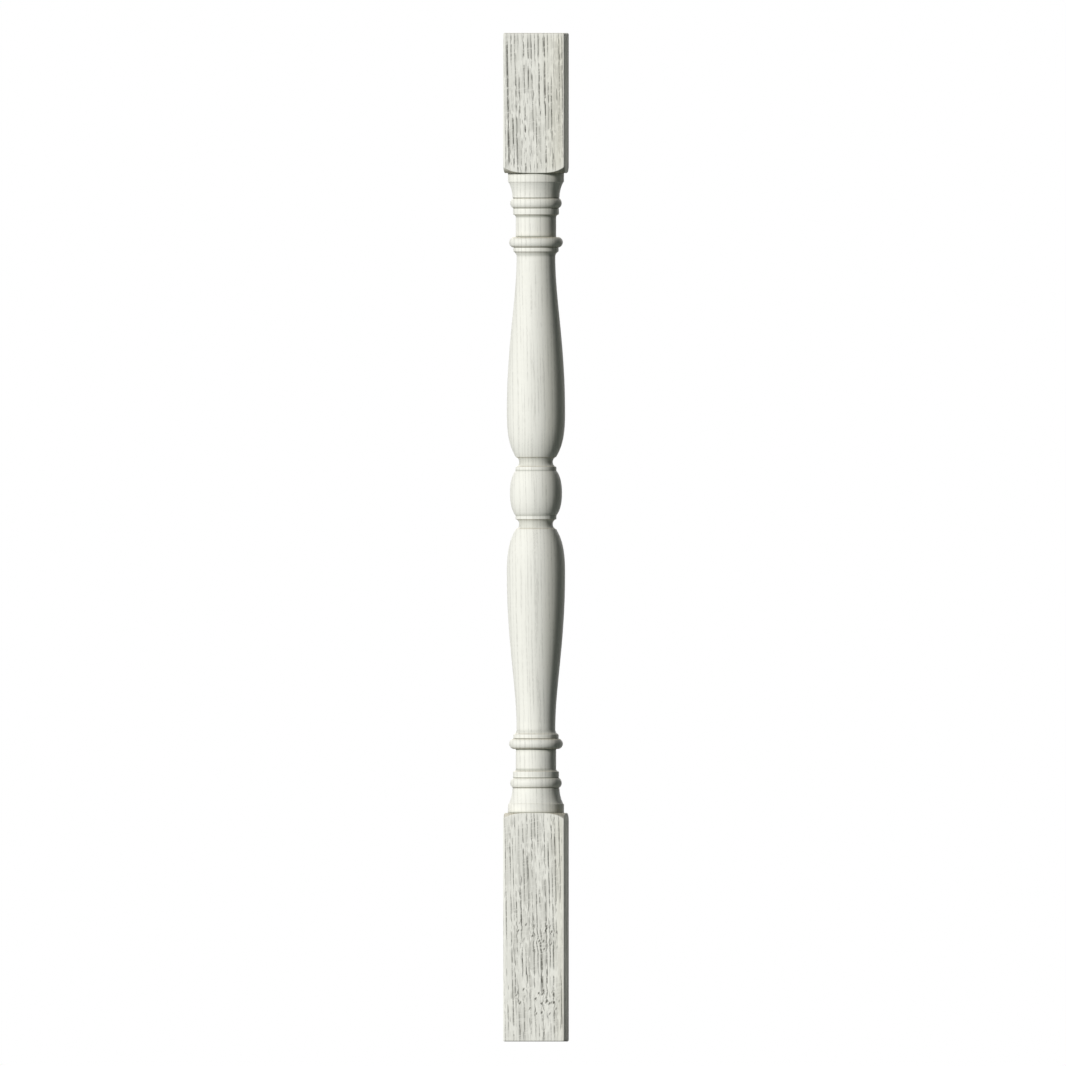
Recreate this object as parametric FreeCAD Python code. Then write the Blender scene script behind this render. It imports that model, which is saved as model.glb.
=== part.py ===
"""Turned stair baluster: one length of square timber, left square at both ends and turned in between.

The turned pattern runs the same way upwards and downwards from a ball at its middle.
The origin is the centre of the lower end, +Z runs up the turning axis, and the block faces lie
square to X and Y. All lengths are in millimetres and all angles in degrees.
"""
import FreeCAD, Part
import math
import os

# Square timber
BLOCK_WIDTH = 55.0
LOWER_BLOCK_LENGTH = 204.0
UPPER_BLOCK_LENGTH = 125.0
ARRIS_RADIUS = 1.5

# Shoulder of each block: a flat ledge round the collar, then a roll that takes the corners back
SHOULDER_LEDGE = 2.0
CORNER_DROP = 6.0

# Collar at the foot of the turning, with a hollow above it
COLLAR_DIAMETER = 50.0
COLLAR_HEIGHT = 8.0
COLLAR_HOLLOW_FOOT_DIAMETER = 49.0
COLLAR_HOLLOW_TOP_DIAMETER = 42.0
COLLAR_HOLLOW_HEIGHT = 14.0

# Lower ring and the band above it
RING_DIAMETER = 46.0
RING_EDGE_DIAMETER = 40.0
RING_HEIGHT = 9.5
BAND_DIAMETER = 41.0
BAND_HEIGHT = 5.5

# Neck between the rings, with a small hollow at its foot
NECK_DIAMETER = 36.0
NECK_HOLLOW_HEIGHT = 2.5
NECK_HEIGHT = 17.5

# Upper ring, the fillet on it and the hollow that leads into the vase
CROWN_RING_DIAMETER = 48.0
CROWN_RING_EDGE_DIAMETER = 39.0
CROWN_RING_HEIGHT = 9.5
CROWN_FILLET_DIAMETER = 40.5
CROWN_FILLET_HEIGHT = 3.5
VASE_HOLLOW_HEIGHT = 4.5

# Vase: a slow swell from its stem to its belly, then a quick turn in to its mouth beside the ball
STEM_DIAMETER = 34.5
BELLY_DIAMETER = 52.0
MOUTH_DIAMETER = 36.0
SWELL_HEIGHT = 139.0
TURN_IN_HEIGHT = 40.0
MOUTH_ANGLE = 30.0

# Hollow and fillet between the vase and the ball
BALL_HOLLOW_DIAMETER = 30.0
BALL_HOLLOW_EDGE_DIAMETER = 35.0
BALL_HOLLOW_HEIGHT = 8.5
BALL_FILLET_DIAMETER = 36.5
BALL_FILLET_HEIGHT = 3.5

# Ball at the middle of the pattern
BALL_DIAMETER = 46.5
BALL_HEIGHT = 40.0
BALL_SPRING_ANGLE = 40.0

# Fullness of the long curves: the pull of each handle as a share of the curve's own rise
STEM_PULL = 0.28
BELLY_PULL = 0.45
TURN_IN_PULL = 0.50
MOUTH_PULL = 0.30
BALL_SPRING_PULL = 0.26
BALL_WAIST_PULL = 0.45

ORIGIN = FreeCAD.Vector(0, 0, 0)
UP = FreeCAD.Vector(0, 0, 1)
CORNER_RADIUS = BLOCK_WIDTH / 2 * math.sqrt(2)
FULL_TURN = 360


class Outline:
    """Half section of a turning in the XZ plane, drawn upwards, one moulding at a time."""

    def __init__(self, radius, height):
        self.radius = radius
        self.height = height
        self.edges = []

    def point(self, radius, rise):
        """Point at a radius, and at a rise above where the outline has reached."""
        return FreeCAD.Vector(radius, 0, self.height + rise)

    def draw(self, curve, radius, rise):
        """Add a curve that ends at this radius and rise."""
        self.edges.append(curve.toShape())
        self.radius = radius
        self.height += rise

    def line(self, radius, rise):
        """Straight line: a wall, or a level ledge where the rise is 0."""
        start = self.point(self.radius, 0)
        self.draw(Part.LineSegment(start, self.point(radius, rise)), radius, rise)

    def bow(self, edge_radius, extreme_radius, rise):
        """Ring or groove: a ledge to its edge, then an arc to its extreme and back to the edge's radius."""
        self.line(edge_radius, 0)
        start = self.point(edge_radius, 0)
        middle = self.point(extreme_radius, rise / 2)
        self.draw(Part.Arc(start, middle, self.point(edge_radius, rise)), edge_radius, rise)

    def hollow(self, radius, rise):
        """Concave arc to a smaller radius, upright where it ends."""
        inset = self.radius - radius
        arc_radius = (inset**2 + rise**2) / (2 * inset)
        half_turn = math.atan2(rise, arc_radius - inset) / 2
        start = self.point(self.radius, 0)
        middle = self.point(
            radius + arc_radius * (1 - math.cos(half_turn)),
            rise - arc_radius * math.sin(half_turn),
        )
        self.draw(Part.Arc(start, middle, self.point(radius, rise)), radius, rise)

    def roll(self, radius, rise):
        """Convex arc to a smaller radius, level where it ends."""
        inset = self.radius - radius
        arc_radius = (inset**2 + rise**2) / (2 * rise)
        half_turn = math.atan2(inset, arc_radius - rise) / 2
        start = self.point(self.radius, 0)
        middle = self.point(
            radius + arc_radius * math.sin(half_turn),
            rise - arc_radius * (1 - math.cos(half_turn)),
        )
        self.draw(Part.Arc(start, middle, self.point(radius, rise)), radius, rise)

    def sweep(self, radius, rise, leave_pull, arrive_pull, leave_angle=0.0, arrive_angle=0.0):
        """Smooth curve to a new radius. Each angle is the curve's lean from the axis at that end,
        outwards positive, and each pull is a share of the rise."""
        leave = math.radians(leave_angle)
        arrive = math.radians(arrive_angle)
        leave_length = leave_pull * rise
        arrive_length = arrive_pull * rise
        start = self.point(self.radius, 0)
        start_handle = self.point(
            self.radius + leave_length * math.sin(leave),
            leave_length * math.cos(leave),
        )
        end_handle = self.point(
            radius - arrive_length * math.sin(arrive),
            rise - arrive_length * math.cos(arrive),
        )
        curve = Part.BezierCurve()
        curve.setPoles([start, start_handle, end_handle, self.point(radius, rise)])
        self.draw(curve, radius, rise)


def half_pattern():
    """Outline of the lathe's work from the corners of the lower block up to the middle of the ball."""
    outline = Outline(CORNER_RADIUS, LOWER_BLOCK_LENGTH - CORNER_DROP)
    outline.roll(COLLAR_DIAMETER / 2 + SHOULDER_LEDGE, CORNER_DROP)
    outline.line(COLLAR_DIAMETER / 2, 0)
    outline.line(COLLAR_DIAMETER / 2, COLLAR_HEIGHT)
    outline.line(COLLAR_HOLLOW_FOOT_DIAMETER / 2, 0)
    outline.hollow(COLLAR_HOLLOW_TOP_DIAMETER / 2, COLLAR_HOLLOW_HEIGHT)

    outline.bow(RING_EDGE_DIAMETER / 2, RING_DIAMETER / 2, RING_HEIGHT)
    outline.line(BAND_DIAMETER / 2, 0)
    outline.line(BAND_DIAMETER / 2, BAND_HEIGHT)
    outline.hollow(NECK_DIAMETER / 2, NECK_HOLLOW_HEIGHT)
    outline.line(NECK_DIAMETER / 2, NECK_HEIGHT)

    outline.bow(CROWN_RING_EDGE_DIAMETER / 2, CROWN_RING_DIAMETER / 2, CROWN_RING_HEIGHT)
    outline.line(CROWN_FILLET_DIAMETER / 2, 0)
    outline.line(CROWN_FILLET_DIAMETER / 2, CROWN_FILLET_HEIGHT)
    outline.hollow(STEM_DIAMETER / 2, VASE_HOLLOW_HEIGHT)

    outline.sweep(BELLY_DIAMETER / 2, SWELL_HEIGHT, STEM_PULL, BELLY_PULL)
    outline.sweep(MOUTH_DIAMETER / 2, TURN_IN_HEIGHT, TURN_IN_PULL, MOUTH_PULL, arrive_angle=-MOUTH_ANGLE)

    outline.bow(BALL_HOLLOW_EDGE_DIAMETER / 2, BALL_HOLLOW_DIAMETER / 2, BALL_HOLLOW_HEIGHT)
    outline.line(BALL_FILLET_DIAMETER / 2, 0)
    outline.line(BALL_FILLET_DIAMETER / 2, BALL_FILLET_HEIGHT)
    outline.sweep(
        BALL_DIAMETER / 2,
        BALL_HEIGHT / 2,
        BALL_SPRING_PULL,
        BALL_WAIST_PULL,
        leave_angle=BALL_SPRING_ANGLE,
    )
    return outline


def turning(half, length):
    """What the lathe leaves: the half pattern and its mirror image, closed round the blocks and spun."""
    upper_shoulder = length - UPPER_BLOCK_LENGTH + CORNER_DROP
    corners = [
        FreeCAD.Vector(CORNER_RADIUS, 0, LOWER_BLOCK_LENGTH - CORNER_DROP),
        FreeCAD.Vector(CORNER_RADIUS, 0, 0),
        ORIGIN,
        FreeCAD.Vector(0, 0, length),
        FreeCAD.Vector(CORNER_RADIUS, 0, length),
        FreeCAD.Vector(CORNER_RADIUS, 0, upper_shoulder),
    ]
    closing = [Part.LineSegment(start, end).toShape() for start, end in zip(corners, corners[1:])]
    middle_of_ball = FreeCAD.Vector(0, 0, half.height)
    mirrored = [edge.mirror(middle_of_ball, UP) for edge in half.edges]
    outline = Part.Wire(Part.__sortEdges__(half.edges + mirrored + closing))
    return Part.Face(outline).revolve(ORIGIN, UP, FULL_TURN)


def timber(length):
    """Square length of timber with every arris eased."""
    corner = FreeCAD.Vector(-BLOCK_WIDTH / 2, -BLOCK_WIDTH / 2, 0)
    stick = Part.makeBox(BLOCK_WIDTH, BLOCK_WIDTH, length, corner)
    return stick.makeFillet(ARRIS_RADIUS, stick.Edges)


def baluster():
    """The timber, kept where it lies inside what the lathe leaves."""
    half = half_pattern()
    length = 2 * half.height - LOWER_BLOCK_LENGTH + UPPER_BLOCK_LENGTH
    return timber(length).common(turning(half, length))


os.makedirs("parts", exist_ok=True)
baluster().exportStep("parts/baluster.step")
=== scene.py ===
"""Looks of a turned stair baluster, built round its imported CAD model.

The CAD solid gives the size and the place. One finer piece stands for it, with the same outline and with its
edges eased as sandpaper eases them. Its finish is pale bare timber, whose growth rings run through the whole
stick. Lengths are in metres. The timber's patterns are worked out in millimetres, and say so.
"""
import math
from types import SimpleNamespace

import bpy
import numpy as np
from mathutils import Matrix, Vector


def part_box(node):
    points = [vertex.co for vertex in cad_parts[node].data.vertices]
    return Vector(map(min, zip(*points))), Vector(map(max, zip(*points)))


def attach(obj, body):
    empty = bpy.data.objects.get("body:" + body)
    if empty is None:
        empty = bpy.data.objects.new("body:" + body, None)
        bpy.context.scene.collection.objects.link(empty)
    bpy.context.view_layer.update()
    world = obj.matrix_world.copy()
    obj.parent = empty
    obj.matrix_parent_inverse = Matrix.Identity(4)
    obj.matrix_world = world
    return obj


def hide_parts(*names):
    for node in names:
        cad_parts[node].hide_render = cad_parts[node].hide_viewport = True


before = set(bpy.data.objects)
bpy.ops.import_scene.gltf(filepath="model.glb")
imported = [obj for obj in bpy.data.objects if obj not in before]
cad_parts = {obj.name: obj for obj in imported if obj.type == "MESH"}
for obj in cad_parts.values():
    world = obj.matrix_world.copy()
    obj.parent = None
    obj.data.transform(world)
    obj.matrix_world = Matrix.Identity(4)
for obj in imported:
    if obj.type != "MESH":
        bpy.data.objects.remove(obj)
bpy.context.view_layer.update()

MM = 0.001

# Square timber, with its length and width taken from the CAD solid
STICK_LOW, STICK_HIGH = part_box("baluster")
LENGTH = STICK_HIGH.z - STICK_LOW.z
BLOCK_WIDTH = STICK_HIGH.x - STICK_LOW.x
LOWER_BLOCK_LENGTH = 204.0 * MM
UPPER_BLOCK_LENGTH = 125.0 * MM
ARRIS_RADIUS = 1.5 * MM

# Shoulder of each block: a flat ledge round the collar, then a roll that takes the corners back
SHOULDER_LEDGE = 2.0 * MM
CORNER_DROP = 6.0 * MM
SHOULDER_EASE = 0.7 * MM

# Collar at the foot of the turning, with a hollow above it
COLLAR_RADIUS = 25.0 * MM
COLLAR_HEIGHT = 8.0 * MM
COLLAR_HOLLOW_FOOT_RADIUS = 24.5 * MM
COLLAR_HOLLOW_TOP_RADIUS = 21.0 * MM
COLLAR_HOLLOW_HEIGHT = 14.0 * MM

# Lower ring and the band above it
RING_RADIUS = 23.0 * MM
RING_EDGE_RADIUS = 20.0 * MM
RING_HEIGHT = 9.5 * MM
BAND_RADIUS = 20.5 * MM
BAND_HEIGHT = 5.5 * MM

# Neck between the rings, with a small hollow at its foot
NECK_RADIUS = 18.0 * MM
NECK_HOLLOW_HEIGHT = 2.5 * MM
NECK_HEIGHT = 17.5 * MM

# Upper ring, the fillet on it and the hollow that leads into the vase
CROWN_RING_RADIUS = 24.0 * MM
CROWN_RING_EDGE_RADIUS = 19.5 * MM
CROWN_RING_HEIGHT = 9.5 * MM
CROWN_FILLET_RADIUS = 20.25 * MM
CROWN_FILLET_HEIGHT = 3.5 * MM
VASE_HOLLOW_HEIGHT = 4.5 * MM

# Vase: a slow swell from its stem to its belly, then a quick turn in to its mouth beside the ball
STEM_RADIUS = 17.25 * MM
BELLY_RADIUS = 26.0 * MM
MOUTH_RADIUS = 18.0 * MM
SWELL_HEIGHT = 139.0 * MM
TURN_IN_HEIGHT = 40.0 * MM
MOUTH_ANGLE = 30.0

# Hollow and fillet between the vase and the ball
BALL_HOLLOW_RADIUS = 15.0 * MM
BALL_HOLLOW_EDGE_RADIUS = 17.5 * MM
BALL_HOLLOW_HEIGHT = 8.5 * MM
BALL_FILLET_RADIUS = 18.25 * MM
BALL_FILLET_HEIGHT = 3.5 * MM

# Ball at the middle of the pattern
BALL_RADIUS = 23.25 * MM
BALL_HEIGHT = 40.0 * MM
BALL_SPRING_ANGLE = 40.0

# Fullness of the long curves: the pull of each handle as a share of the curve's own rise
STEM_PULL = 0.28
BELLY_PULL = 0.45
TURN_IN_PULL = 0.50
MOUTH_PULL = 0.30
BALL_SPRING_PULL = 0.26
BALL_WAIST_PULL = 0.45

# Sandpaper: how far it rounds edges, how far a recess is felt for its painted shade, and how far the pale
# arris fades
SANDING_REACH = 0.32 * MM
SANDING_STEP = 0.08 * MM
RECESS_REACH = 1.4 * MM
RECESS_DEPTH = 0.8 * MM
ARRIS_FADE = 2.2 * MM
BELL_REACHES = 4

# Fineness of the grid
TURNED_ROWS = 820
LONGEST_ROW = 2.5 * MM
SHARPEST_ROW = math.radians(8.0)
FACE_COLUMNS = 19
CORNER_COLUMNS = 7
FACE_MARGIN = math.radians(0.35)
END_RINGS = 6
ARRIS_ROWS = 7
WALL_ROWS = 14
EASE_ROWS = 6
ROLL_ROWS = 12

# Shares of the way along each stroke of the outline
STROKE_POINTS = 65
STROKE = np.linspace(0.0, 1.0, STROKE_POINTS)


class TurnedOutline:
    """Half section of the turning, drawn upwards, one moulding at a time, as rows of (radius, height)."""

    def __init__(self, radius, height):
        self.strokes = [np.array([[radius, height]])]

    def end(self):
        """Radius and height that the outline has reached."""
        return self.strokes[-1][-1]

    def draw(self, radii, heights):
        """Add a stroke given by its radii and heights."""
        self.strokes.append(np.column_stack((radii, heights)))

    def line(self, radius, rise):
        """Straight line: a wall, or a level ledge where the rise is 0."""
        start_radius, start_height = self.end()
        self.draw(start_radius + (radius - start_radius) * STROKE, start_height + rise * STROKE)

    def bow(self, edge_radius, extreme_radius, rise):
        """Ring or groove: a ledge to its edge, then the arc of a circle out or in to its extreme and back.

        The circle's radius is (bulge squared + half rise squared) / (2 x bulge).
        """
        self.line(edge_radius, 0.0)
        height = self.end()[1]
        bulge = extreme_radius - edge_radius
        arc_radius = (bulge**2 + (rise / 2) ** 2) / (2 * bulge)
        half_turn = math.asin(rise / 2 / abs(arc_radius))
        turn = half_turn * (2 * STROKE - 1)
        self.draw(
            extreme_radius - arc_radius * (1 - np.cos(turn)),
            height + rise / 2 + abs(arc_radius) * np.sin(turn),
        )

    def hollow(self, radius, rise):
        """Concave arc to a smaller radius, upright where it ends, so its centre is level with its end."""
        start_radius, start_height = self.end()
        inset = start_radius - radius
        arc_radius = (inset**2 + rise**2) / (2 * inset)
        turn = math.atan2(rise, arc_radius - inset) * (1 - STROKE)
        self.draw(
            radius + arc_radius * (1 - np.cos(turn)),
            start_height + rise - arc_radius * np.sin(turn),
        )

    def sweep(self, radius, rise, leave_pull, arrive_pull, leave_angle=0.0, arrive_angle=0.0):
        """Cubic curve on four points: both ends, and a handle from each that leans by its angle."""
        start_radius, start_height = self.end()
        leave = math.radians(leave_angle)
        arrive = math.radians(arrive_angle)
        handles = (
            (start_radius, start_height),
            (
                start_radius + leave_pull * rise * math.sin(leave),
                start_height + leave_pull * rise * math.cos(leave),
            ),
            (
                radius - arrive_pull * rise * math.sin(arrive),
                start_height + rise - arrive_pull * rise * math.cos(arrive),
            ),
            (radius, start_height + rise),
        )
        shares = np.column_stack((
            (1 - STROKE) ** 3,
            3 * (1 - STROKE) ** 2 * STROKE,
            3 * (1 - STROKE) * STROKE**2,
            STROKE**3,
        ))
        curve = shares @ np.array(handles)
        self.draw(curve[:, 0], curve[:, 1])


def turned_pattern():
    """Outline of the whole turning, from the lower block's ledge to the upper block's.

    The lower half is drawn moulding by moulding. The upper half is its mirror image about the ball's middle.
    """
    outline = TurnedOutline(COLLAR_RADIUS + SHOULDER_LEDGE / 2, LOWER_BLOCK_LENGTH)
    outline.line(COLLAR_RADIUS, 0.0)
    outline.line(COLLAR_RADIUS, COLLAR_HEIGHT)
    outline.line(COLLAR_HOLLOW_FOOT_RADIUS, 0.0)
    outline.hollow(COLLAR_HOLLOW_TOP_RADIUS, COLLAR_HOLLOW_HEIGHT)

    outline.bow(RING_EDGE_RADIUS, RING_RADIUS, RING_HEIGHT)
    outline.line(BAND_RADIUS, 0.0)
    outline.line(BAND_RADIUS, BAND_HEIGHT)
    outline.hollow(NECK_RADIUS, NECK_HOLLOW_HEIGHT)
    outline.line(NECK_RADIUS, NECK_HEIGHT)

    outline.bow(CROWN_RING_EDGE_RADIUS, CROWN_RING_RADIUS, CROWN_RING_HEIGHT)
    outline.line(CROWN_FILLET_RADIUS, 0.0)
    outline.line(CROWN_FILLET_RADIUS, CROWN_FILLET_HEIGHT)
    outline.hollow(STEM_RADIUS, VASE_HOLLOW_HEIGHT)

    outline.sweep(BELLY_RADIUS, SWELL_HEIGHT, STEM_PULL, BELLY_PULL)
    outline.sweep(MOUTH_RADIUS, TURN_IN_HEIGHT, TURN_IN_PULL, MOUTH_PULL, arrive_angle=-MOUTH_ANGLE)

    outline.bow(BALL_HOLLOW_EDGE_RADIUS, BALL_HOLLOW_RADIUS, BALL_HOLLOW_HEIGHT)
    outline.line(BALL_FILLET_RADIUS, 0.0)
    outline.line(BALL_FILLET_RADIUS, BALL_FILLET_HEIGHT)
    outline.sweep(
        BALL_RADIUS,
        BALL_HEIGHT / 2,
        BALL_SPRING_PULL,
        BALL_WAIST_PULL,
        leave_angle=BALL_SPRING_ANGLE,
    )

    half = np.concatenate(outline.strokes)
    middle = half[-1, 1]
    mirrored = half[::-1] * (1, -1) + (0, 2 * middle)
    return np.concatenate((half, mirrored[1:]))


def distance_along(points):
    """Distance of each point from the first, along the outline."""
    steps = np.hypot(*np.diff(points, axis=0).T)
    return np.concatenate(([0.0], np.cumsum(steps)))


def bell_mean(points, reach):
    """Mean of each evenly spaced point's neighbours, out to BELL_REACHES times the reach.

    Each neighbour is weighted by exp(-(distance / reach) squared / 2).
    """
    count = math.ceil(BELL_REACHES * reach / SANDING_STEP)
    offsets = np.arange(-count, count + 1) * SANDING_STEP
    bell = np.exp(-((offsets / reach) ** 2) / 2)
    bell /= bell.sum()
    padded = np.pad(points, ((count, count), (0, 0)), mode="reflect", reflect_type="odd")
    return np.column_stack([np.convolve(column, bell, "valid") for column in padded.T])


def sanded(points):
    """The outline as evenly spaced points with every edge rounded, and how proud each point stands.

    Proud is the radius less its mean over the neighbourhood: above 0 on a rim, below 0 in a recess.
    """
    along = distance_along(points)
    keep = np.concatenate(([True], np.diff(along) > 0))
    even = np.linspace(0.0, along[-1], round(along[-1] / SANDING_STEP))
    spaced = np.column_stack([np.interp(even, along[keep], column[keep]) for column in points.T])
    smooth = bell_mean(spaced, SANDING_REACH)
    proud = (smooth[:, 0] - bell_mean(smooth, RECESS_REACH)[:, 0]) / RECESS_DEPTH
    return smooth, np.clip(proud, -1.0, 1.0)


def spread_rows(points, count):
    """Places of the rows along the outline: close together where it turns, wide apart where it is straight.

    Each step costs its length over LONGEST_ROW plus its turn over SHARPEST_ROW, and the rows share the cost
    evenly.
    """
    step = np.diff(points, axis=0)
    heading = np.unwrap(np.arctan2(step[:, 0], step[:, 1]))
    turn = np.abs(np.gradient(heading))
    cost = np.hypot(*step.T) / LONGEST_ROW + turn / SHARPEST_ROW
    total = np.concatenate(([0.0], np.cumsum(cost)))
    return np.interp(np.linspace(0.0, total[-1], count), total, np.arange(len(points)))


def column_angles():
    """Angle of each column about the axis: even across each face, then one for each step of its arris."""
    core = BLOCK_WIDTH / 2 - ARRIS_RADIUS
    steps = np.linspace(0.0, math.pi / 2, CORNER_COLUMNS)
    corner = np.arctan2(core + ARRIS_RADIUS * np.sin(steps), core + ARRIS_RADIUS * np.cos(steps))
    half_face = corner[0] - FACE_MARGIN
    face = np.linspace(-half_face, half_face, FACE_COLUMNS)
    quarter = np.concatenate((face, corner))
    return np.concatenate([quarter + side * math.pi / 2 for side in range(4)])


def square_reach(angles, core, ease):
    """Distance from the axis to the outline of a square with half width core, grown outwards by ease.

    On a face it is (core + ease) / cos(angle). On a corner it is where the ray meets the circle of radius
    ease about the core's corner.
    """
    across = (angles + math.pi / 4) % (math.pi / 2) - math.pi / 4
    flat = (core + ease) / np.cos(across)
    corner_along = core * (np.cos(across) + np.sin(np.abs(across)))
    room = np.maximum(corner_along**2 - 2 * core**2 + ease**2, 0.0)
    rounded = corner_along + np.sqrt(room)
    return np.where(np.tan(np.abs(across)) * (core + ease) <= core, flat, rounded)


def shoulder_drop(radius):
    """Fall of the shoulder below its ledge: an arc, level there and CORNER_DROP down at the corners."""
    inner = COLLAR_RADIUS + SHOULDER_LEDGE
    inset = BLOCK_WIDTH / 2 * math.sqrt(2) - inner
    arc_radius = (inset**2 + CORNER_DROP**2) / (2 * CORNER_DROP)
    past = np.maximum(radius - inner, 0.0)
    return arc_radius - np.sqrt(arc_radius**2 - past**2)


def block_rows(angles, block_length):
    """Radii and heights of a block's grid, from the middle of its end to the ledge round the collar.

    In turn: the end face as shrunken squares, its arris, the walls, the shoulder's eased edge and its roll.
    """
    core = BLOCK_WIDTH / 2 - ARRIS_RADIUS
    wall = square_reach(angles, core, ARRIS_RADIUS)
    share = np.linspace(0.0, 1.0, END_RINGS + 1)[1:, None]
    rows = [(share * square_reach(angles, core, 0.0), np.zeros((END_RINGS, len(angles))))]

    for turn in np.linspace(0.0, math.pi / 2, ARRIS_ROWS)[1:]:
        reach = square_reach(angles, core, ARRIS_RADIUS * math.sin(turn))
        rows.append((reach[None], np.full((1, len(angles)), ARRIS_RADIUS * (1 - math.cos(turn)))))

    edge = block_length - shoulder_drop(wall)
    climb = np.linspace(0.0, 1.0, WALL_ROWS + 1)[1:, None]
    wall_top = edge - SHOULDER_EASE
    rows.append((np.tile(wall, (WALL_ROWS, 1)), ARRIS_RADIUS + (wall_top - ARRIS_RADIUS) * climb))

    eased = np.linspace(0.0, 1.0, EASE_ROWS + 1)[1:, None]
    inner = wall - SHOULDER_EASE
    inner_height = block_length - shoulder_drop(inner)
    rows.append((
        wall * (1 - eased**2) + inner * eased**2,
        wall_top * (1 - eased) ** 2 + 2 * edge * eased * (1 - eased) + inner_height * eased**2,
    ))

    roll = np.linspace(0.0, 1.0, ROLL_ROWS + 1)[1:-1, None]
    ledge = COLLAR_RADIUS + SHOULDER_LEDGE / 2
    reach = inner + (ledge - inner) * roll
    rows.append((reach, block_length - shoulder_drop(reach)))
    radii, heights = (np.concatenate(parts) for parts in zip(*rows))
    return radii, heights


def arris_wear_and_highlight(angles, radii, heights, block_length):
    """How proud a block's points stand: 1 on its arrises, fading to 0 a few millimetres into each face.

    It is exp(-(distance from the nearest arris / ARRIS_FADE) squared). The pale arris it gives is wear and a
    painted highlight.
    """
    across = np.abs(radii * np.cos(angles))
    along = np.abs(radii * np.sin(angles))
    from_side = BLOCK_WIDTH / 2 - np.minimum(across, along)
    from_end = np.maximum(heights, BLOCK_WIDTH / 2 - np.maximum(across, along))
    from_shoulder = block_length - shoulder_drop(radii) - heights
    nearest = np.minimum(np.minimum(from_side, from_end), np.abs(from_shoulder) + SHOULDER_EASE)
    return np.exp(-((nearest / ARRIS_FADE) ** 2))


def closed_mesh(name, points, bottom, top):
    """Mesh of a grid of points whose rows go once round the axis, closed by a fan to a point at each end."""
    row_count, column_count = points.shape[:2]
    corners = np.arange(row_count * column_count).reshape(row_count, column_count)
    after = np.roll(corners, -1, axis=1)
    quads = np.stack((corners[:-1], after[:-1], after[1:], corners[1:]), axis=-1).reshape(-1, 4)
    bottom_index = row_count * column_count
    bottom_fan = np.column_stack((after[0], corners[0], np.full(column_count, bottom_index)))
    top_fan = np.column_stack((corners[-1], after[-1], np.full(column_count, bottom_index + 1)))

    vertices = np.concatenate((points.reshape(-1, 3), [bottom, top]))
    loops = np.concatenate((quads.ravel(), bottom_fan.ravel(), top_fan.ravel()))
    sides = np.concatenate((np.full(len(quads), 4), np.full(2 * column_count, 3)))
    mesh = bpy.data.meshes.new(name)
    mesh.vertices.add(len(vertices))
    mesh.vertices.foreach_set("co", vertices.ravel())
    mesh.loops.add(len(loops))
    mesh.loops.foreach_set("vertex_index", loops)
    mesh.polygons.add(len(sides))
    mesh.polygons.foreach_set("loop_start", np.concatenate(([0], np.cumsum(sides)[:-1])))
    mesh.update(calc_edges=True)
    mesh.validate()
    mesh.shade_smooth()
    return mesh


def carry(mesh, name, values):
    """Give every point of the mesh a number that its finish can read."""
    attribute = mesh.attributes.new(name, "FLOAT", "POINT")
    attribute.data.foreach_set("value", values.astype(np.float32))


def baluster_piece():
    """The whole baluster as one closed grid: lower block, turning, upper block.

    A point is (radius x cos(angle), radius x sin(angle), height). On the blocks the radius follows the
    square, and on the turning it follows the sanded outline. Two numbers go with each point: planed is 1 on
    the blocks and 0 on the turning, and proud is 1 on a rim or arris and -1 deep in a recess.
    """
    angles = column_angles()
    lower_radii, lower_heights = block_rows(angles, LOWER_BLOCK_LENGTH)
    upper_radii, upper_heights = block_rows(angles, UPPER_BLOCK_LENGTH)

    outline, outline_proud = sanded(turned_pattern())
    places = spread_rows(outline, TURNED_ROWS)
    indices = np.arange(len(outline))
    turned_radii, turned_heights, turned_proud = (
        np.interp(places, indices, values)[:, None] + np.zeros(len(angles))
        for values in (*outline.T, outline_proud)
    )

    radii = np.concatenate((lower_radii, turned_radii, upper_radii[::-1]))
    heights = np.concatenate((lower_heights, turned_heights, LENGTH - upper_heights[::-1]))
    points = np.stack((radii * np.cos(angles), radii * np.sin(angles), heights), axis=-1)
    mesh = closed_mesh("baluster_turned_and_sanded", points, (0, 0, 0), (0, 0, LENGTH))

    ends = np.zeros(2)
    planed = np.concatenate((
        np.ones(lower_radii.size),
        np.zeros(turned_radii.size),
        np.ones(upper_radii.size),
    ))
    proud = np.concatenate((
        arris_wear_and_highlight(angles, lower_radii, lower_heights, LOWER_BLOCK_LENGTH).ravel(),
        turned_proud.ravel(),
        arris_wear_and_highlight(angles, upper_radii, upper_heights, UPPER_BLOCK_LENGTH)[::-1].ravel(),
    ))
    carry(mesh, "planed", np.concatenate((planed, ends + 1)))
    carry(mesh, "proud", np.concatenate((proud, ends)))

    piece = bpy.data.objects.new("baluster_turned_and_sanded", mesh)
    bpy.context.scene.collection.objects.link(piece)
    return piece


# Value that Blender's noise swings about
NOISE_MIDDLE = 0.5


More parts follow.
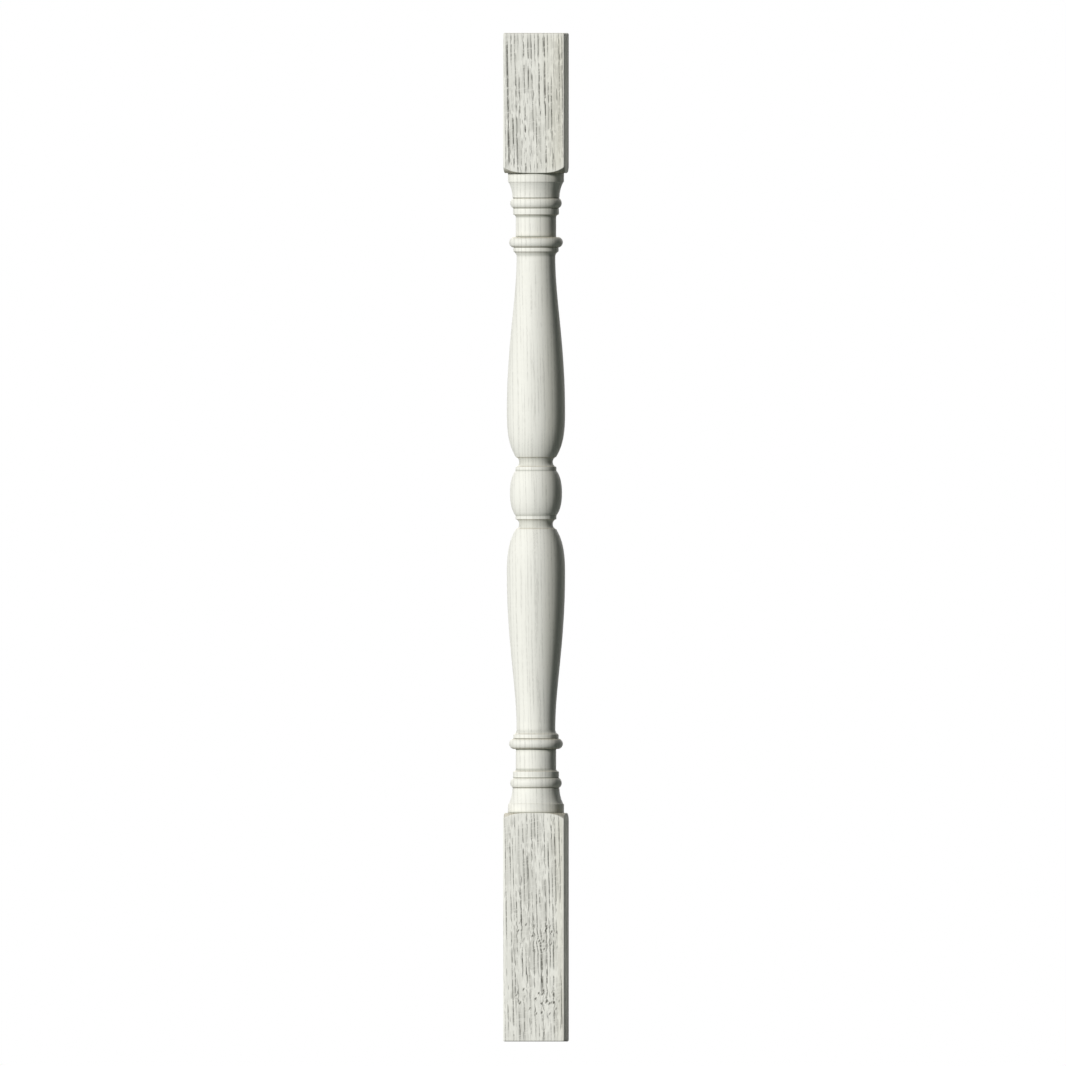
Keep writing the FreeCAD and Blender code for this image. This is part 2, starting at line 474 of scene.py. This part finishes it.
class Finish:
    """Nodes of a material or of the world, with short ways to add to them that return output sockets."""

    def __init__(self, owner):
        owner.use_nodes = True
        self.tree = owner.node_tree
        self.tree.nodes.clear()

    def add(self, kind, inputs, output, **settings):
        """Add a node, set or link its inputs by name or number, and return one of its outputs."""
        node = self.tree.nodes.new(kind)
        for name, value in settings.items():
            setattr(node, name, value)
        for key, value in inputs.items():
            if isinstance(value, bpy.types.NodeSocket):
                self.tree.links.new(value, node.inputs[key])
            else:
                node.inputs[key].default_value = value
        return node.outputs[output]

    def show(self, shader, kind="ShaderNodeOutputMaterial"):
        """Make this shader what the surface or the world shows."""
        output = self.tree.nodes.new(kind)
        self.tree.links.new(shader, output.inputs["Surface"])

    def math(self, operation, first, second=0.0):
        """Blender's own sum, product or other operation on one or two numbers."""
        return self.add("ShaderNodeMath", {0: first, 1: second}, 0, operation=operation)

    def sum(self, *terms):
        """All the terms added, from the first to the last."""
        total = terms[0]
        for term in terms[1:]:
            total = self.math("ADD", total, term)
        return total

    def less(self, first, second):
        """The first number less the second."""
        return self.math("SUBTRACT", first, second)

    def times(self, *factors):
        """All the factors multiplied, from the first to the last."""
        product = factors[0]
        for factor in factors[1:]:
            product = self.math("MULTIPLY", product, factor)
        return product

    def larger(self, first, second):
        """The larger of two numbers."""
        return self.math("MAXIMUM", first, second)

    def shift(self, vector, by):
        """The vector moved by another."""
        return self.add("ShaderNodeVectorMath", {0: vector, 1: by}, 0, operation="ADD")

    def scaled(self, vector, by):
        """The vector with each part multiplied by its own factor."""
        return self.add("ShaderNodeVectorMath", {0: vector, 1: by}, 0, operation="MULTIPLY")

    def over(self, vector, sizes):
        """The vector with each part counted in its own size."""
        return self.scaled(vector, tuple(1 / size for size in sizes))

    def length(self, vector):
        """Length of a vector."""
        return self.add("ShaderNodeVectorMath", {0: vector}, "Value", operation="LENGTH")

    def parts(self, vector):
        """The x, y and z of a vector."""
        x = self.add("ShaderNodeSeparateXYZ", {0: vector}, "X")
        return x, x.node.outputs["Y"], x.node.outputs["Z"]

    def joined(self, x, y, z):
        """Vector with these parts."""
        return self.add("ShaderNodeCombineXYZ", {0: x, 1: y, 2: z}, 0)

    def attribute(self, name):
        """Number that the mesh carries at each point."""
        return self.add("ShaderNodeAttribute", {}, "Fac", attribute_name=name)

    def noise(self, vector, sizes, detail=2.0, roughness=0.5, distortion=0.0, output="Fac"):
        """Smooth noise whose marks have about these sizes."""
        inputs = {
            "Vector": self.over(vector, sizes),
            "Scale": 1.0,
            "Detail": detail,
            "Roughness": roughness,
            "Distortion": distortion,
        }
        return self.add("ShaderNodeTexNoise", inputs, output)

    def centred(self, noise):
        """The noise moved so that it swings about 0."""
        return self.less(noise, NOISE_MIDDLE)

    def ramp(self, value, start, end, low=0.0, high=1.0):
        """Smooth step from low to high while the value goes from start to end."""
        inputs = {"Value": value, 1: start, 2: end, 3: low, 4: high}
        return self.add("ShaderNodeMapRange", inputs, "Result", interpolation_type="SMOOTHSTEP")

    def between(self, share, pair):
        """Smooth step from the pair's first number to its second while the share goes from 0 to 1."""
        return self.ramp(share, 0.0, 1.0, *pair)

    def blend(self, share, first, second, way):
        """Two colours blended by a share, in one of Blender's ways."""
        inputs = {0: share, 6: first, 7: second}
        return self.add("ShaderNodeMix", inputs, 2, data_type="RGBA", blend_type=way)


def screen_colour(red, green, blue):
    """Shader colour of a screen colour given in steps of 255, by the sRGB rule."""
    steps = np.array((red, green, blue)) / 255.0
    linear = np.where(steps <= 0.04045, steps / 12.92, ((steps + 0.055) / 1.055) ** 2.4)
    return (*linear.tolist(), 1.0)


# Timber tones
PALE_WOOD = screen_colour(250, 249, 240)
GREY_WOOD = screen_colour(201, 200, 191)
SPRING_WOOD = screen_colour(132, 131, 122)
PORE = screen_colour(72, 70, 63)
RAY = screen_colour(254, 253, 244)
KNOT_EYE = screen_colour(80, 77, 68)
# Heartwood tint, darker and greener on the right side: also a painted shade there
HEARTWOOD_AND_SHADE_TINT = (0.96, 0.95, 0.91, 1.0)
END_GRAIN_TINT = (0.70, 0.66, 0.57, 1.0)
# Painted shade in the recesses of the turning
PAINTED_RECESS_SHADE = (0.35, 0.36, 0.32, 1.0)

# Growth rings, in millimetres and radians: where the axis lies from the pith, and how the grain leans
PITH_DISTANCE = 118.0
AXIS_FROM_PITH = (-PITH_DISTANCE, 9.0, 0.0)
GRAIN_LEAN = (0.003, 0.020, 0.0)
RING_PITCH = 3.3
RING_CROWDING = 2.6
RING_WANDER = 8.0
SHADED_HEART_SWAY = 30.0
RUFFLE_SWAY = 3.0
RAY_SHEAR = 0.22

# Sizes of the timber's marks, in millimetres out from the pith, round it and up the stick
CROWDING_SIZE = (8.0, 900.0, 900.0)
YEAR_SIZE = (2.6, 70.0, 44.0)
STREAK_SIZE = (4.2, 40.0, 75.0)
PORE_SIZE = (0.30, 0.42, 6.5)
DASH_SIZE = (0.75, 1.1, 17.0)
FIBRE_SIZE = (0.34, 0.34, 16.0)
RAY_SIZE = (10.0, 2.0, 1.7)
FLECK_SIZE = (1.1, 1.6, 8.0)
FLECK_PATCH_SIZE = (9.0, 30.0, 17.0)
SHADED_HEART_SIZE = (25.0, 25.0, 260.0)

# Sizes of marks that follow the stick, in millimetres along X, Y and Z
WANDER_SIZE = (70.0, 70.0, 420.0)
END_PORE_SIZE = (0.45, 0.45, 6.0)
RUFFLE_SIZE = (14.0, 30.0, 7.0)
GOUGE_SIZE = (250.0, 250.0, 1.4)
RIDGE_SIZE = (400.0, 400.0, 3.4)

# Edges of the marks: the values of a noise, a distance or a place in the ring between which each fades in
YEAR_EDGE = (0.38, 0.60)
SPRING_START = (0.0, 0.07)
SPRING_END = (0.52, 0.16)
PORE_EDGE = (0.46, 0.54)
STREAK_EDGE = (0.42, 0.62)
STREAK_FIBRE_EDGE = (0.36, 0.58)
SPRING_FIBRE_EDGE = (0.3, 0.7)
DARK_FIBRE_EDGE = (0.48, 0.75)
DASH_EDGE = (0.685, 0.725)
RAY_EDGE = (0.59, 0.62)
FLECK_EDGE = (0.47, 0.58)
FLECK_PATCH_EDGE = (0.45, 0.56)
SHADED_HEART_EDGE = (106.0, 84.0)
KNOT_EYE_EDGE = (0.30, 0.06)
END_PORE_EDGE = (0.3, 0.7)
WEAR_AND_HIGHLIGHT_EDGE = (0.25, 0.85)
PAINTED_RECESS_SHADE_EDGE = (0.0, -0.6)

# Parts of the surface's normal between which a cut becomes radial, or becomes end grain
RADIAL_EDGE = (0.60, 0.97)
END_GRAIN_EDGE = (0.55, 1.0)

# Shares of the tones in the colour, where a pair goes from one edge of a mark to the other
STREAK_SHARE = 0.60
STREAK_FIBRE_SHARE = (0.45, 1.0)
SPRING_SHARE = (0.46, 0.92)
DARK_FIBRE_SHARE = 0.20
PORES_IN_SPRING = 0.92
PORES_ELSEWHERE = 0.05
RAY_SHARE = 0.38
BRIGHT_SHARE = 0.95
DASH_SHARE = 0.85
KNOT_EYE_SHARE = 0.85
END_GRAIN_SHARE = (0.65, 1.0)
WEAR_AND_HIGHLIGHT_SHARE = (0.0, 0.6)

# How far the fibres break up the edges of other marks, and of the pale rims and arrises, wear and a painted
# highlight
RAGGEDNESS = 0.32
FIBRE_WEAR_AND_HIGHLIGHT = 0.8

# Pairs for the sanded turning and for the planed blocks
GRAIN_STRENGTH = (0.13, 1.0)
PORE_SHARE = (0.19, 0.88)
ROUGHNESS = (0.55, 0.74)
GRAIN_RELIEF_SHARE = (0.35, 1.0)

# Pairs for the sides, where the cut runs along the rings, and for the front and back, where it is radial
ARCH_GRAIN = (0.62, 1.0)
FAINTEST_YEAR = (0.55, 0.06)

# Roughness that some marks add, and the shine of them all
FIBRE_ROUGHNESS = 0.30
RAY_ROUGHNESS = -0.08
END_ROUGHNESS = 0.18
SHINE = 0.10

# Relief of the marks, in millimetres
FIBRE_RELIEF = 0.040
SPRING_RELIEF = -0.020
PORE_RELIEF = -0.045
RIDGE_RELIEF = 0.24
GOUGE_RELIEF = 0.030
END_PORE_RELIEF = 0.055

# Pin knot clusters on the lower block's front, in millimetres: heights, then each group's middle and reach
CLUSTER_HEIGHTS = (92.0, 34.0)
KNOT_GROUPS = (
    ((8.0, 0.0), (19.0, 14.0, 18.0)),
    ((-10.0, 6.0), (9.0, 14.0, 13.0)),
)
CLUSTER_EDGE = (1.0, 0.5)

# The knots in a cluster: how they lie, which of them are there, and how they push the rings aside
KNOT_SPACING = (3.4, 7.4)
KNOT_LEAN = math.radians(-27.0)
KNOT_SCATTER = 0.95
KNOT_CHANCE_EDGE = (0.66, 0.36)
PUSH_EDGE = (0.85, 0.05)
PUSH_SHARE = (0.0, 0.85)


def knot_clusters(finish, place):
    """1 inside a cluster of pin knots, falling smoothly to 0 at its reach."""
    clusters = 0.0
    for height in CLUSTER_HEIGHTS:
        for (across, above), reach in KNOT_GROUPS:
            offset = finish.shift(place, (-across, BLOCK_WIDTH / MM / 2, -height - above))
            distance = finish.length(finish.over(offset, reach))
            clusters = finish.larger(clusters, finish.ramp(distance, *CLUSTER_EDGE))
    return clusters


def pin_knots(finish, place, clusters):
    """Distance from the nearest pin knot, whether it is there, and how far the knots push the rings aside.

    The knots are the seeds of a Voronoi pattern across the front. Beside a knot the rings are pushed by the
    offset from its seed, times a bell that falls with the distance, so that they part and flow round it.
    """
    lean = {"Vector": place, "Rotation": (0.0, KNOT_LEAN, 0.0)}
    across, _, along = finish.parts(finish.add("ShaderNodeMapping", lean, "Vector"))
    cell = finish.over(finish.joined(across, along, 0.0), (*KNOT_SPACING, 1.0))
    seeds = {"Vector": cell, "Scale": 1.0, "Randomness": KNOT_SCATTER}
    distance = finish.add("ShaderNodeTexVoronoi", seeds, "Distance", voronoi_dimensions="2D")
    seed = distance.node.outputs["Position"]
    chance = finish.parts(distance.node.outputs["Color"])[0]
    present = finish.times(finish.ramp(chance, *KNOT_CHANCE_EDGE), clusters)
    offset = finish.add("ShaderNodeVectorMath", {0: cell, 1: seed}, 0, operation="SUBTRACT")
    bell = finish.times(finish.ramp(distance, *PUSH_EDGE, *PUSH_SHARE), present)
    push = finish.times(finish.parts(offset)[0], -KNOT_SPACING[0], bell)
    return distance, present, push


def place_in_tree(finish, place, push):
    """Millimetres out from the pith, round it and up, wandering so that no ring is a perfect cylinder."""
    lean = {"Vector": place, "Location": AXIS_FROM_PITH, "Rotation": GRAIN_LEAN}
    straight = finish.add("ShaderNodeMapping", lean, "Vector")
    noise = finish.noise(straight, WANDER_SIZE, output="Color")
    wander = finish.scaled(finish.shift(noise, (-NOISE_MIDDLE,) * 3), (RING_WANDER, RING_WANDER, 0.0))
    x, y, up = finish.parts(finish.shift(straight, wander))
    out = finish.less(finish.length(finish.joined(x, y, 0.0)), push)
    angle = finish.math("ARCTAN2", y, finish.times(x, -1.0))
    return finish.joined(out, finish.times(angle, PITH_DISTANCE), up)


def growth_rings(finish, tree, radial_cut):
    """Place within each year's ring, from 0 in spring to 1 in autumn, and the strength of its line.

    The place is the fraction of (distance from the pith / pitch + slow noise). The strength fades and
    returns along each ring, so that no line runs unbroken, and fades less where the cut runs along the
    rings.
    """
    crowding = finish.times(finish.noise(tree, CROWDING_SIZE, detail=1.0), RING_CROWDING)
    years = finish.sum(finish.times(finish.parts(tree)[0], 1 / RING_PITCH), crowding)
    faintest = finish.between(radial_cut, FAINTEST_YEAR)
    strength = finish.ramp(finish.noise(tree, YEAR_SIZE), *YEAR_EDGE, faintest, 1.0)
    return finish.math("FRACT", years), strength


def ray_flecks(finish, tree, radial_cut, ragged):
    """Pale flecks across the grain, where a ray lies in the surface: only where the cut is close to radial.

    They are the high places of a noise that is wide, low and sheared, so that they rise a little to the
    right, and the fibres break their edges.
    """
    out, around, up = finish.parts(tree)
    sheared = finish.joined(out, around, finish.sum(up, finish.times(out, RAY_SHEAR)))
    high = finish.noise(sheared, RAY_SIZE, distortion=0.6)
    return finish.times(finish.ramp(finish.sum(high, ragged), *RAY_EDGE), radial_cut)


def bright_fibres(finish, tree, ragged):
    """Short pale strokes along the grain, gathered in patches: a painted sheen where the fibres turn towards
    the light.
    """
    stroke = finish.ramp(finish.sum(finish.noise(tree, FLECK_SIZE, detail=1.0), ragged), *FLECK_EDGE)
    patch = finish.ramp(finish.noise(tree, FLECK_PATCH_SIZE), *FLECK_PATCH_EDGE)
    return finish.times(stroke, patch)


def timber_marks(finish):
    """Marks of ring-porous timber, by name, with the numbers that tell how strongly each shows.

    The pith lies off to the right of the stick, so the front and back show straight lines broken by pale
    rays, and the sides show long arches. Everything is worked out in millimetres from Object coordinates,
    so each cut through the stick shows the same tree.
    """
    place = finish.scaled(finish.add("ShaderNodeTexCoord", {}, "Object"), (1 / MM,) * 3)
    planed = finish.attribute("planed")
    _, facing_front, facing_up = finish.parts(finish.add("ShaderNodeTexCoord", {}, "Normal"))
    radial_cut = finish.ramp(finish.math("ABSOLUTE", facing_front), *RADIAL_EDGE)

    # Place in the tree, with the grain ruffled round the pin knots
    clusters = knot_clusters(finish, place)
    knot_distance, knot_present, push = pin_knots(finish, place, clusters)
    ruffle = finish.centred(finish.noise(place, RUFFLE_SIZE, detail=1.0))
    tree = place_in_tree(finish, place, finish.sum(push, finish.times(ruffle, RUFFLE_SWAY, clusters)))

    # Fine fibres, which break the edges of other marks, and open spring wood with its pores
    fibre = finish.noise(tree, FIBRE_SIZE, detail=3.0, roughness=0.65)
    ragged = finish.times(finish.centred(fibre), RAGGEDNESS)
    year, strength = growth_rings(finish, tree, radial_cut)
    spring = finish.times(finish.ramp(year, *SPRING_START), finish.ramp(year, *SPRING_END), strength)
    pore = finish.ramp(finish.noise(tree, PORE_SIZE, detail=1.0), *PORE_EDGE)
    pore_band = finish.sum(finish.times(spring, PORES_IN_SPRING), PORES_ELSEWHERE)

    # Grey streaks, the eyes of the knots, and heartwood near the pith, whose darker tint on the right side
    # is also a painted shade
    streak = finish.ramp(finish.noise(tree, STREAK_SIZE, detail=3.0), *STREAK_EDGE)
    streak_fibre = finish.ramp(fibre, *STREAK_FIBRE_EDGE, *STREAK_FIBRE_SHARE)
    knot_eye = finish.ramp(finish.sum(knot_distance, ragged), *KNOT_EYE_EDGE)
    shaded_heart_sway = finish.times(finish.centred(finish.noise(tree, SHADED_HEART_SIZE)), SHADED_HEART_SWAY)
    shaded_heart_place = finish.sum(finish.parts(tree)[0], shaded_heart_sway)

    return SimpleNamespace(
        planed=planed,
        proud=finish.attribute("proud"),
        contrast=finish.times(
            finish.between(planed, GRAIN_STRENGTH),
            finish.between(radial_cut, ARCH_GRAIN),
        ),
        fibre=fibre,
        spring=spring,
        pore=finish.times(pore, pore_band),
        streak=finish.times(streak, streak_fibre),
        dash=finish.ramp(finish.noise(tree, DASH_SIZE, detail=1.0), *DASH_EDGE),
        ray=ray_flecks(finish, tree, radial_cut, ragged),
        bright=bright_fibres(finish, tree, ragged),
        knot_eye=finish.times(knot_eye, knot_present),
        heart_and_shade=finish.ramp(shaded_heart_place, *SHADED_HEART_EDGE),
        end_grain=finish.ramp(finish.math("ABSOLUTE", facing_up), *END_GRAIN_EDGE),
        end_pore=finish.noise(place, END_PORE_SIZE),
        ridge=finish.noise(place, RIDGE_SIZE, detail=1.0),
        gouge=finish.noise(place, GOUGE_SIZE, detail=3.0, roughness=0.7),
    )


def timber_colour(finish, marks):
    """Colour of the timber: pale wood, then layers that each bring in a tone by its share.

    The grain stands out on the planed blocks and is quiet on the sanded turning. Rims and arrises are pale,
    by wear and a painted highlight; recesses get a painted shade; the right side, near the pith, gets a
    heartwood tint that is also a painted shade; and wood cut across the grain drinks the light and shows its
    pores.
    """
    spring_fibre = finish.ramp(marks.fibre, *SPRING_FIBRE_EDGE, *SPRING_SHARE)
    dark_fibre = finish.ramp(marks.fibre, *DARK_FIBRE_EDGE)
    # Pale rims and arrises: wear, and a painted highlight
    wear_and_highlight = finish.sum(marks.proud, finish.times(finish.centred(marks.fibre), FIBRE_WEAR_AND_HIGHLIGHT))
    end_pore = finish.ramp(marks.end_pore, *END_PORE_EDGE, *END_GRAIN_SHARE)
    layers = (
        (finish.times(marks.streak, STREAK_SHARE, marks.contrast), GREY_WOOD, "MIX"),
        (finish.times(marks.spring, spring_fibre, marks.contrast), SPRING_WOOD, "MIX"),
        (finish.times(dark_fibre, DARK_FIBRE_SHARE, marks.contrast), SPRING_WOOD, "MIX"),
        (finish.times(marks.pore, finish.between(marks.planed, PORE_SHARE)), PORE, "MIX"),
        (finish.times(marks.ray, RAY_SHARE, marks.contrast), RAY, "MIX"),
        # Painted sheen of the fibres
        (finish.times(marks.bright, BRIGHT_SHARE, marks.contrast), RAY, "MIX"),
        (finish.times(marks.dash, DASH_SHARE, marks.contrast), PORE, "MIX"),
        (finish.times(marks.knot_eye, KNOT_EYE_SHARE), KNOT_EYE, "MIX"),
        # Heartwood tint on the right side, also a painted shade there
        (marks.heart_and_shade, HEARTWOOD_AND_SHADE_TINT, "MULTIPLY"),
        # Pale rims and arrises: wear, and a painted highlight
        (finish.ramp(wear_and_highlight, *WEAR_AND_HIGHLIGHT_EDGE, *WEAR_AND_HIGHLIGHT_SHARE), PALE_WOOD, "MIX"),
        (finish.times(marks.end_grain, end_pore), END_GRAIN_TINT, "MULTIPLY"),
        # Painted shade in the recesses
        (finish.ramp(marks.proud, *PAINTED_RECESS_SHADE_EDGE), PAINTED_RECESS_SHADE, "MULTIPLY"),
    )
    colour = PALE_WOOD
    for share, tone, way in layers:
        colour = finish.blend(share, colour, tone, way)
    return colour


def timber_roughness(finish, marks):
    """Roughness of the timber: the turning smoother than a planed face, rays shinier, end grain roughest."""
    return finish.sum(
        finish.between(marks.planed, ROUGHNESS),
        finish.times(finish.centred(marks.fibre), FIBRE_ROUGHNESS),
        finish.times(marks.ray, RAY_ROUGHNESS),
        finish.times(marks.end_grain, END_ROUGHNESS),
    )


def timber_relief(finish, marks):
    """Normal of the timber, bumped by a height in millimetres.

    The height has the grain's raised fibres and open pores, which sanding has lowered on the turning, the
    gouge's ridges and fine rings on the turning alone, and the pores of the end grain.
    """
    grain = finish.sum(
        finish.times(marks.fibre, FIBRE_RELIEF),
        finish.times(marks.spring, SPRING_RELIEF),
        finish.times(marks.pore, PORE_RELIEF),
    )
    tooling = finish.sum(
        finish.times(marks.ridge, RIDGE_RELIEF),
        finish.times(marks.gouge, GOUGE_RELIEF),
    )
    height = finish.sum(
        finish.times(grain, finish.between(marks.planed, GRAIN_RELIEF_SHARE)),
        finish.times(tooling, finish.ramp(marks.planed, 1.0, 0.0)),
        finish.times(marks.end_pore, marks.end_grain, END_PORE_RELIEF),
    )
    return finish.add("ShaderNodeBump", {"Strength": 1.0, "Distance": MM, "Height": height}, "Normal")


def timber_finish():
    """Pale bare timber, planed on the blocks and sanded on the turning."""
    material = bpy.data.materials.new("pale_timber_bare")
    finish = Finish(material)
    marks = timber_marks(finish)
    shader_inputs = {
        "Base Color": timber_colour(finish, marks),
        "Roughness": timber_roughness(finish, marks),
        "Normal": timber_relief(finish, marks),
        "Specular IOR Level": SHINE,
    }
    finish.show(finish.add("ShaderNodeBsdfPrincipled", shader_inputs, "BSDF"))
    return material


def seen_directly(finish):
    """1 on a ray that shows the floor or sky, or its mirror image, and 0 on a ray that only lights."""
    path = finish.add("ShaderNodeLightPath", {}, "Is Camera Ray")
    mirrored = finish.larger(path.node.outputs["Is Glossy Ray"], path.node.outputs["Is Transmission Ray"])
    return finish.larger(path, mirrored)


# Studio: floor size and tones, and the strength and tone of the light from all round
FLOOR_WIDTH = 12.0
FLOOR_SHOWN = (0.80, 0.80, 0.80, 1.0)
FLOOR_GLOW = 0.46
FLOOR_BOUNCE = (0.12, 0.14, 0.13, 1.0)
SKY_FILL = 0.030
SKY_TONE = (0.92, 1.0, 0.96, 1.0)
WHITE = (1.0, 1.0, 1.0, 1.0)


def floor_finish():
    """Matt white floor that keeps the baluster's shadow and throws little light back up."""
    material = bpy.data.materials.new("studio_floor_white")
    finish = Finish(material)
    bounce = finish.add("ShaderNodeBsdfDiffuse", {"Color": FLOOR_BOUNCE}, "BSDF")
    paint = finish.add("ShaderNodeBsdfDiffuse", {"Color": FLOOR_SHOWN}, "BSDF")
    glow = finish.add("ShaderNodeEmission", {"Strength": FLOOR_GLOW}, "Emission")
    shown = finish.add("ShaderNodeAddShader", {0: paint, 1: glow}, "Shader")
    finish.show(finish.add("ShaderNodeMixShader", {0: seen_directly(finish), 1: bounce, 2: shown}, "Shader"))
    return material


def studio_floor():
    """Flat square under the baluster, centred on its axis."""
    half = FLOOR_WIDTH / 2
    corners = [(-half, -half, 0), (half, -half, 0), (half, half, 0), (-half, half, 0)]
    mesh = bpy.data.meshes.new("studio_floor")
    mesh.from_pydata(corners, [], [(0, 1, 2, 3)])
    mesh.materials.append(floor_finish())
    floor = bpy.data.objects.new("studio_floor", mesh)
    bpy.context.scene.collection.objects.link(floor)
    return floor


def white_sky():
    """World that looks white and gives a weak even light."""
    sky = bpy.data.worlds.new("white_sky")
    finish = Finish(sky)
    fill = finish.add("ShaderNodeBackground", {"Color": SKY_TONE, "Strength": SKY_FILL}, "Background")
    shown = finish.add("ShaderNodeBackground", {"Color": WHITE, "Strength": 1.0}, "Background")
    seen = finish.add("ShaderNodeMixShader", {0: seen_directly(finish), 1: fill, 2: shown}, "Shader")
    finish.show(seen, kind="ShaderNodeOutputWorld")
    bpy.context.scene.world = sky


def toward(azimuth, elevation):
    """Unit vector from the baluster: azimuth 0 is the viewer's side, growing to the right, in degrees."""
    side = math.radians(azimuth)
    rise = math.radians(elevation)
    return np.array((
        math.sin(side) * math.cos(rise),
        -math.cos(side) * math.cos(rise),
        math.sin(rise),
    ))


def aimed(holder, direction):
    """Turn a lamp or camera that stands in this direction so that it looks back along it."""
    holder.rotation_mode = "QUATERNION"
    holder.rotation_quaternion = Vector(-direction).to_track_quat("-Z", "Y")


# Lamps: name, azimuth and elevation, strength and width in degrees
LAMPS = (
    ("window_lamp", -36.0, 15.0, 3.0, 10.0),
    ("back_lamp", -171.0, 28.0, 2.4, 25.0),
    ("side_lamp", 152.0, 20.0, 0.38, 30.0),
)


def lamps():
    """Wide soft suns: the main one from the viewer's left, one for the back and a weak one for the right."""
    for name, azimuth, elevation, strength, width in LAMPS:
        lamp = bpy.data.lights.new(name, "SUN")
        lamp.energy = strength
        lamp.angle = math.radians(width)
        holder = bpy.data.objects.new(name, lamp)
        bpy.context.scene.collection.objects.link(holder)
        direction = toward(azimuth, elevation)
        holder.location = direction * FLOOR_WIDTH / 2
        aimed(holder, direction)


# Camera: square on but for a few degrees, and the picture's scale and framing
PICTURE_WIDTH = 1066
BALUSTER_TOP_PIXEL = 33.0
BALUSTER_FOOT_PIXEL = 1041.5
BALUSTER_AXIS_PIXEL = 536.0
CAMERA_AZIMUTH = 4.0
CAMERA_DISTANCE = 4.0


def camera():
    """Camera with no perspective, level with the middle of its picture."""
    pixel = LENGTH / (BALUSTER_FOOT_PIXEL - BALUSTER_TOP_PIXEL)
    lens = bpy.data.cameras.new("picture_camera")
    lens.type = "ORTHO"
    lens.ortho_scale = PICTURE_WIDTH * pixel
    holder = bpy.data.objects.new("picture_camera", lens)
    bpy.context.scene.collection.objects.link(holder)
    direction = toward(CAMERA_AZIMUTH, 0.0)
    right = toward(CAMERA_AZIMUTH + 90.0, 0.0)
    middle = PICTURE_WIDTH / 2
    aim = right * (middle - BALUSTER_AXIS_PIXEL) * pixel
    aim[2] = (BALUSTER_FOOT_PIXEL - middle) * pixel
    holder.location = aim + direction * CAMERA_DISTANCE
    aimed(holder, direction)
    bpy.context.scene.camera = holder


baluster = baluster_piece()
baluster.data.materials.append(timber_finish())
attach(baluster, "root")
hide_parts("baluster")

studio_floor()
white_sky()
lamps()
camera()
bpy.context.scene.view_settings.view_transform = "Standard"
